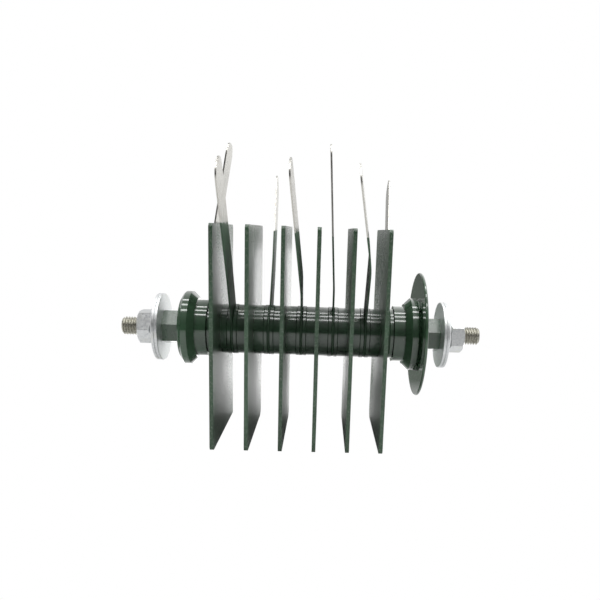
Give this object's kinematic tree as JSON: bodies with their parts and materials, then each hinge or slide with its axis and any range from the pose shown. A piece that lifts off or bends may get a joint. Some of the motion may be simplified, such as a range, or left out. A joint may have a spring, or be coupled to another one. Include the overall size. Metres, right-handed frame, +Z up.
{
  "type": "dethatcher reel",
  "caption": "Bolt-in lawn dethatcher reel: flat green blades and thin spring-steel tines on a tube that turns on an M10 axle.",
  "frame": {"origin": "under the middle of the axle, on the plane of the blades' lower edges", "axes": "+X along the axle towards the guard disc, +Z up along the tines, +Y across the blades"},
  "size_m": [0.2, 0.1184, 0.1605],
  "materials": {
    "green_paint": "gloss",
    "spring_steel": "satin",
    "zinc_plate": "satin",
    "bearing_steel": "polished",
    "cage_steel": "satin",
    "seal_rubber": "matte",
    "bare_steel": "satin"
  },
  "bodies": {
    "axle": {"axle_rod": "bare_steel", "distance_sleeve": "bare_steel", "hex_spacer_left": "green_paint", "hex_spacer_right": "green_paint", "flat_washer_inner_left": "zinc_plate", "flat_washer_inner_right": "zinc_plate", "flat_washer_outer_left": "zinc_plate", "flat_washer_outer_right": "zinc_plate", "spring_washer_left": "zinc_plate", "spring_washer_right": "zinc_plate", "hex_nut_left": "zinc_plate", "hex_nut_right": "zinc_plate", "bearing_inner_ring_left": "bearing_steel", "bearing_inner_ring_right": "bearing_steel"},
    "reel": {"hub_left": "green_paint", "hub_right": "green_paint", "guard_disc": "green_paint", "blade_1": "green_paint", "blade_2": "green_paint", "blade_3": "green_paint", "blade_4": "green_paint", "blade_5": "green_paint", "blade_6": "green_paint", "clamp_rings_1": "green_paint", "clamp_rings_2": "green_paint", "clamp_rings_3": "green_paint", "clamp_rings_4": "green_paint", "clamp_rings_5": "green_paint", "clamp_rings_6": "green_paint", "clamp_rings_7": "green_paint", "spacer_1_left": "green_paint", "spacer_1_right": "green_paint", "spacer_2_left": "green_paint", "spacer_2_right": "green_paint", "spacer_3_left": "green_paint", "spacer_3_right": "green_paint", "spacer_4_left": "green_paint", "spacer_4_right": "green_paint", "spacer_5_left": "green_paint", "spacer_5_right": "green_paint", "tine_1": "spring_steel", "tine_2": "spring_steel", "tine_3": "spring_steel", "tine_4": "spring_steel", "tine_5": "spring_steel", "tine_6": "spring_steel", "tine_7": "spring_steel", "bearing_outer_ring_left": "bearing_steel", "bearing_outer_ring_right": "bearing_steel", "bearing_seals_left": "seal_rubber", "bearing_seals_right": "seal_rubber", "core_tube": "bare_steel"},
    "ball_set_left": {"bearing_balls_left": "bearing_steel", "bearing_cage_left": "cage_steel"},
    "ball_set_right": {"bearing_balls_right": "bearing_steel", "bearing_cage_right": "cage_steel"}
  },
  "joints": [
    {"name": "reel_spin", "type": "hinge", "parent": "axle", "child": "reel", "pos_m": [0, 0, 0.0595], "axis": [1, 0, 0], "continuous": true},
    {"name": "ball_orbit_left", "type": "hinge", "parent": "axle", "child": "ball_set_left", "pos_m": [0, 0, 0.0595], "axis": [1, 0, 0], "continuous": true},
    {"name": "ball_orbit_right", "type": "hinge", "parent": "axle", "child": "ball_set_right", "pos_m": [0, 0, 0.0595], "axis": [1, 0, 0], "continuous": true}
  ],
  "couplings": [
    {"joint": "ball_orbit_left", "follows": "reel_spin", "ratio": 0.625},
    {"joint": "ball_orbit_right", "follows": "reel_spin", "ratio": 0.625}
  ]
}
